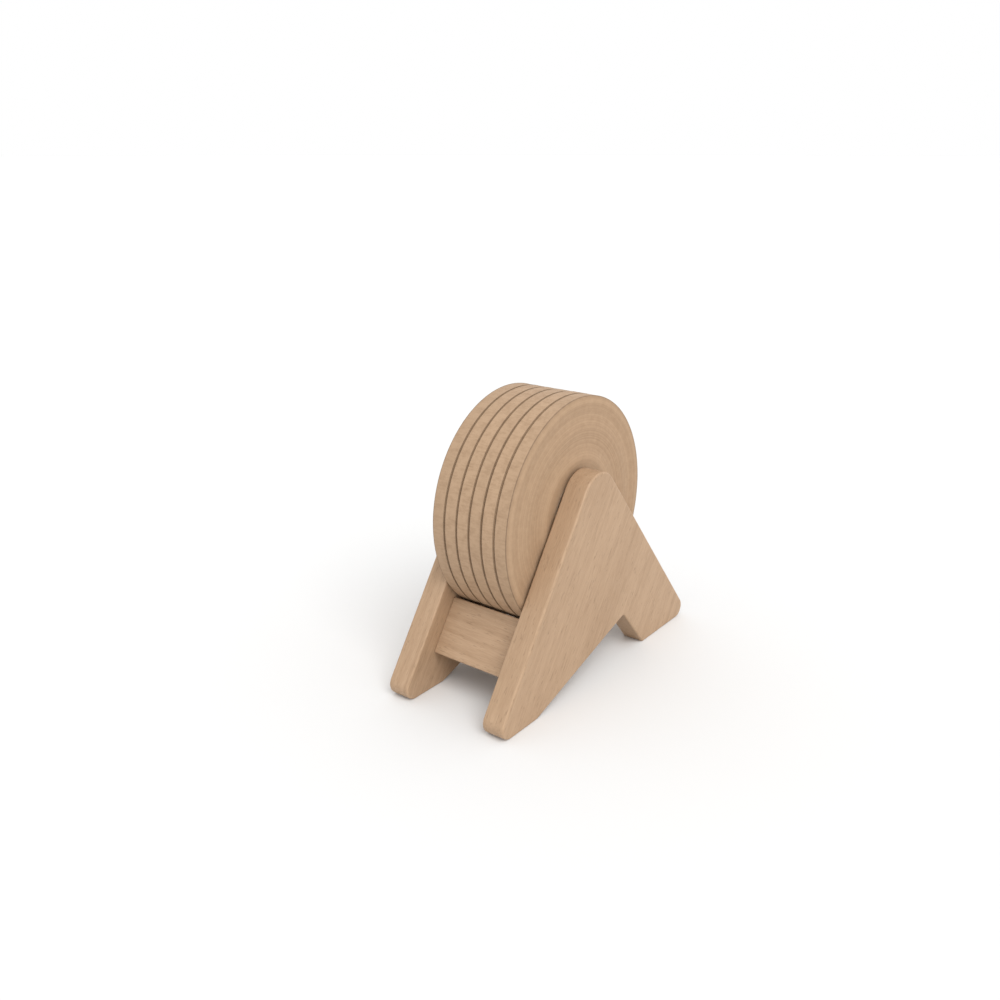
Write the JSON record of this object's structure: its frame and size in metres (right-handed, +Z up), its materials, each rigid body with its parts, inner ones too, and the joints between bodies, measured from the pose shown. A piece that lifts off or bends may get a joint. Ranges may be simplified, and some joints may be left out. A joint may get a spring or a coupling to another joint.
{
  "type": "tape dispenser",
  "caption": "Small desk tape dispenser: two thick arrow-shaped cheeks joined by a leaning tear bar, with a reel of slim tape rolls on a lift-out axle between them.",
  "frame": {"origin": "on the table under the middle of the dispenser, at the centre of its bounding box", "axes": "+X across the dispenser along the axle, +Y to its rear, +Z up"},
  "size_m": [0.032, 0.077, 0.0657],
  "materials": {
    "board": "sanded, unfinished beech in a kraft tone",
    "tape": "fine creped paper tape",
    "core": "wound grey-brown board",
    "dowel": "smooth beech",
    "steel": "brushed, with a ground toothed edge"
  },
  "bodies": {
    "frame": {"left_cheek": "board", "right_cheek": "board", "tear_bar": "board", "cutter_blade": "steel", "bar_dowel_1": "dowel", "bar_dowel_2": "dowel", "bar_dowel_3": "dowel", "bar_dowel_4": "dowel"},
    "axle": {"axle_dowel": "dowel"},
    "hub": {"hub": "dowel"},
    "roll_1": {"tape_roll_1": "tape", "roll_core_1": "core"},
    "roll_2": {"tape_roll_2": "tape", "roll_core_2": "core"},
    "roll_3": {"tape_roll_3": "tape", "roll_core_3": "core"},
    "roll_4": {"tape_roll_4": "tape", "roll_core_4": "core"},
    "roll_5": {"tape_roll_5": "tape", "roll_core_5": "core"},
    "roll_6": {"tape_roll_6": "tape", "roll_core_6": "core"}
  },
  "joints": [
    {"name": "reel_lift", "type": "slide", "parent": "frame", "child": "axle", "axis": [0, 0.7623, 0.6472], "range_m": [0, 0.04]},
    {"name": "hub_spin", "type": "hinge", "parent": "axle", "child": "hub", "pos_m": [0, -0.00325, 0.03925], "axis": [1, 0, 0], "continuous": true},
    {"name": "roll_1_spin", "type": "hinge", "parent": "hub", "child": "roll_1", "pos_m": [0, -0.00325, 0.03925], "axis": [1, 0, 0], "continuous": true},
    {"name": "roll_2_spin", "type": "hinge", "parent": "hub", "child": "roll_2", "pos_m": [0, -0.00325, 0.03925], "axis": [1, 0, 0], "continuous": true},
    {"name": "roll_3_spin", "type": "hinge", "parent": "hub", "child": "roll_3", "pos_m": [0, -0.00325, 0.03925], "axis": [1, 0, 0], "continuous": true},
    {"name": "roll_4_spin", "type": "hinge", "parent": "hub", "child": "roll_4", "pos_m": [0, -0.00325, 0.03925], "axis": [1, 0, 0], "continuous": true},
    {"name": "roll_5_spin", "type": "hinge", "parent": "hub", "child": "roll_5", "pos_m": [0, -0.00325, 0.03925], "axis": [1, 0, 0], "continuous": true},
    {"name": "roll_6_spin", "type": "hinge", "parent": "hub", "child": "roll_6", "pos_m": [0, -0.00325, 0.03925], "axis": [1, 0, 0], "continuous": true}
  ]
}
